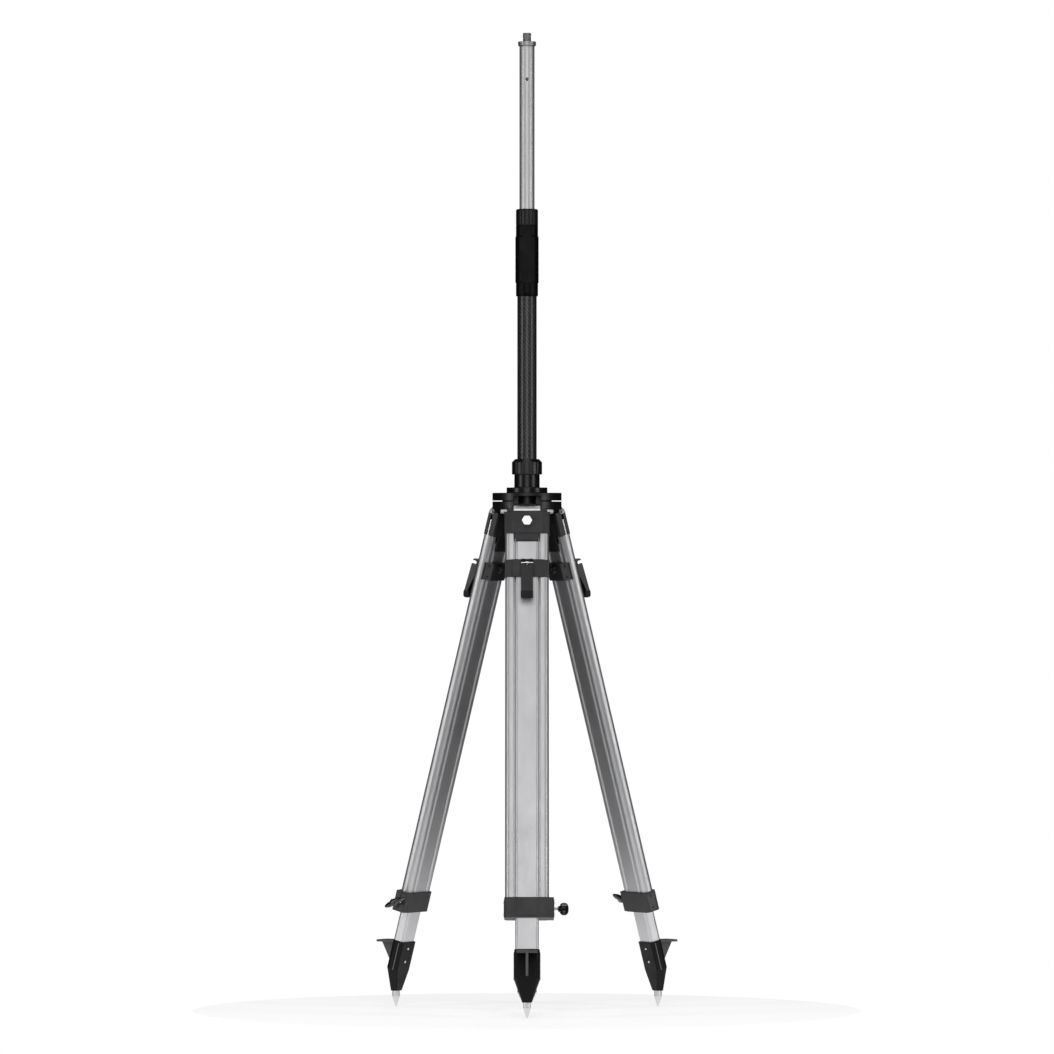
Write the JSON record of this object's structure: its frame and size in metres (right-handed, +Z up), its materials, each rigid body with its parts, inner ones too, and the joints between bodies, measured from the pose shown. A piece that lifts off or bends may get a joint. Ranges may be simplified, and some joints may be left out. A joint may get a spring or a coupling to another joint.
{
  "type": "surveying pole tripod",
  "caption": "Tripod with telescoping clamp legs holding a two-section surveying pole upright through its head collet, with an antenna stud on top.",
  "frame": {"origin": "ground point under the tip of the upright pole, on the pole's axis", "axes": "+Z up along the pole; -Y towards the front leg; +X to the right as seen from the front leg"},
  "size_m": [0.5638, 0.5116, 1.816],
  "materials": {
    "casting_grey": "textured satin dark grey",
    "bare_aluminium": "satin anodised",
    "shaft_steel": "brushed",
    "dark_anodised": "satin black",
    "collet_plastic": "matte black",
    "carbon_weave": "twill carbon under clear resin",
    "grip_rubber": "soft matte",
    "black_plastic": "moulded satin",
    "lever_plastic": "moulded semi-gloss",
    "grey_plastic": "moulded grey",
    "point_steel": "turned",
    "tread_grey": "light grey cast"
  },
  "bodies": {
    "head": {"tripod_head": "casting_grey", "hinge_shafts": "shaft_steel", "pole_adapter": "dark_anodised", "adapter_nut": "dark_anodised"},
    "collet": {"collet_ring": "collet_plastic"},
    "nut": {"collet_nut": "black_plastic"},
    "pole": {"outer_tube": "carbon_weave", "pole_point": "point_steel", "grip": "grip_rubber"},
    "lock": {"lock_collar": "black_plastic"},
    "inner_pole": {"inner_tube": "bare_aluminium", "pole_cap": "dark_anodised"},
    "leg_front": {"top_clamp_outer_front": "casting_grey", "top_clamp_inner_front": "casting_grey", "clamp_bolt_front": "shaft_steel", "leg_rails_front": "bare_aluminium", "lower_bracket_front": "casting_grey"},
    "slider_front": {"sliding_leg_front": "bare_aluminium", "jaw_outer_front": "casting_grey", "jaw_inner_front": "casting_grey", "jaw_plates_front": "grey_plastic", "cam_bolt_front": "shaft_steel", "foot_front": "casting_grey", "foot_tip_front": "point_steel", "foot_step_front": "tread_grey"},
    "lever_front": {"cam_lever_front": "lever_plastic"},
    "stem_front": {"wing_stem_front": "shaft_steel"},
    "knob_front": {"wing_knob_front": "lever_plastic"},
    "leg_right": {"top_clamp_outer_right": "casting_grey", "top_clamp_inner_right": "casting_grey", "clamp_bolt_right": "shaft_steel", "leg_rails_right": "bare_aluminium", "lower_bracket_right": "casting_grey"},
    "slider_right": {"sliding_leg_right": "bare_aluminium", "jaw_outer_right": "casting_grey", "jaw_inner_right": "casting_grey", "jaw_plates_right": "grey_plastic", "cam_bolt_right": "shaft_steel", "foot_right": "casting_grey", "foot_tip_right": "point_steel", "foot_step_right": "tread_grey"},
    "lever_right": {"cam_lever_right": "lever_plastic"},
    "stem_right": {"wing_stem_right": "shaft_steel"},
    "knob_right": {"wing_knob_right": "lever_plastic"},
    "leg_left": {"top_clamp_outer_left": "casting_grey", "top_clamp_inner_left": "casting_grey", "clamp_bolt_left": "shaft_steel", "leg_rails_left": "bare_aluminium", "lower_bracket_left": "casting_grey"},
    "slider_left": {"sliding_leg_left": "bare_aluminium", "jaw_outer_left": "casting_grey", "jaw_inner_left": "casting_grey", "jaw_plates_left": "grey_plastic", "cam_bolt_left": "shaft_steel", "foot_left": "casting_grey", "foot_tip_left": "point_steel", "foot_step_left": "tread_grey"},
    "lever_left": {"cam_lever_left": "lever_plastic"},
    "stem_left": {"wing_stem_left": "shaft_steel"},
    "knob_left": {"wing_knob_left": "lever_plastic"}
  },
  "joints": [
    {"name": "collet_lift", "type": "slide", "parent": "head", "child": "collet", "axis": [0, 0, 1], "range_m": [0, 0.002]},
    {"name": "nut_turn", "type": "hinge", "parent": "collet", "child": "nut", "pos_m": [0, 0, 1.009], "axis": [0, 0, 1], "range_deg": [0, 360]},
    {"name": "pole_slide", "type": "slide", "parent": "head", "child": "pole", "axis": [0, 0, 1], "range_m": [0, 0.3]},
    {"name": "lock_turn", "type": "hinge", "parent": "pole", "child": "lock", "pos_m": [0, 0, 1.474], "axis": [0, 0, 1], "range_deg": [0, 90]},
    {"name": "inner_pole_slide", "type": "slide", "parent": "pole", "child": "inner_pole", "axis": [0, 0, 1], "range_m": [-0.295, 0.2]},
    {"name": "leg_fold_front", "type": "hinge", "parent": "head", "child": "leg_front", "pos_m": [0, -0.0496, 0.927], "axis": [-1, 0, 0], "range_deg": [-15.1, 12]},
    {"name": "leg_slide_front", "type": "slide", "parent": "leg_front", "child": "slider_front", "axis": [0, -0.2605, -0.9655], "range_m": [0, 0.55]},
    {"name": "lever_open_front", "type": "hinge", "parent": "slider_front", "child": "lever_front", "pos_m": [0, -0.10473, 0.83208], "axis": [-1, 0, 0], "range_deg": [0, 110]},
    {"name": "stem_travel_front", "type": "slide", "parent": "leg_front", "child": "stem_front", "axis": [1, 0, 0], "range_m": [0, 0.0025]},
    {"name": "wing_turn_front", "type": "hinge", "parent": "stem_front", "child": "knob_front", "pos_m": [0.066, -0.24615, 0.19855], "axis": [1, 0, 0], "range_deg": [0, 720]},
    {"name": "leg_fold_right", "type": "hinge", "parent": "head", "child": "leg_right", "pos_m": [0.04296, 0.0248, 0.927], "axis": [0.5, -0.866, 0], "range_deg": [-15.1, 12]},
    {"name": "leg_slide_right", "type": "slide", "parent": "leg_right", "child": "slider_right", "axis": [0.2256, 0.1303, -0.9655], "range_m": [0, 0.55]},
    {"name": "lever_open_right", "type": "hinge", "parent": "slider_right", "child": "lever_right", "pos_m": [0.0907, 0.05237, 0.83208], "axis": [0.5, -0.866, 0], "range_deg": [0, 110]},
    {"name": "stem_travel_right", "type": "slide", "parent": "leg_right", "child": "stem_right", "axis": [-0.5, 0.866, 0], "range_m": [0, 0.0025]},
    {"name": "wing_turn_right", "type": "hinge", "parent": "stem_right", "child": "knob_right", "pos_m": [0.18017, 0.18023, 0.19855], "axis": [-0.5, 0.866, 0], "range_deg": [0, 720]},
    {"name": "leg_fold_left", "type": "hinge", "parent": "head", "child": "leg_left", "pos_m": [-0.04296, 0.0248, 0.927], "axis": [0.5, 0.866, 0], "range_deg": [-15.1, 12]},
    {"name": "leg_slide_left", "type": "slide", "parent": "leg_left", "child": "slider_left", "axis": [-0.2256, 0.1303, -0.9655], "range_m": [0, 0.55]},
    {"name": "lever_open_left", "type": "hinge", "parent": "slider_left", "child": "lever_left", "pos_m": [-0.0907, 0.05237, 0.83208], "axis": [0.5, 0.866, 0], "range_deg": [0, 110]},
    {"name": "stem_travel_left", "type": "slide", "parent": "leg_left", "child": "stem_left", "axis": [-0.5, -0.866, 0], "range_m": [0, 0.0025]},
    {"name": "wing_turn_left", "type": "hinge", "parent": "stem_left", "child": "knob_left", "pos_m": [-0.24617, 0.06592, 0.19855], "axis": [-0.5, -0.866, 0], "range_deg": [0, 720]}
  ],
  "couplings": [
    {"joint": "nut_turn", "follows": "collet_lift", "rad_per_m": 3141.6},
    {"joint": "wing_turn_front", "follows": "stem_travel_front", "rad_per_m": 5026.5},
    {"joint": "wing_turn_right", "follows": "stem_travel_right", "rad_per_m": 5026.5},
    {"joint": "wing_turn_left", "follows": "stem_travel_left", "rad_per_m": 5026.5}
  ]
}
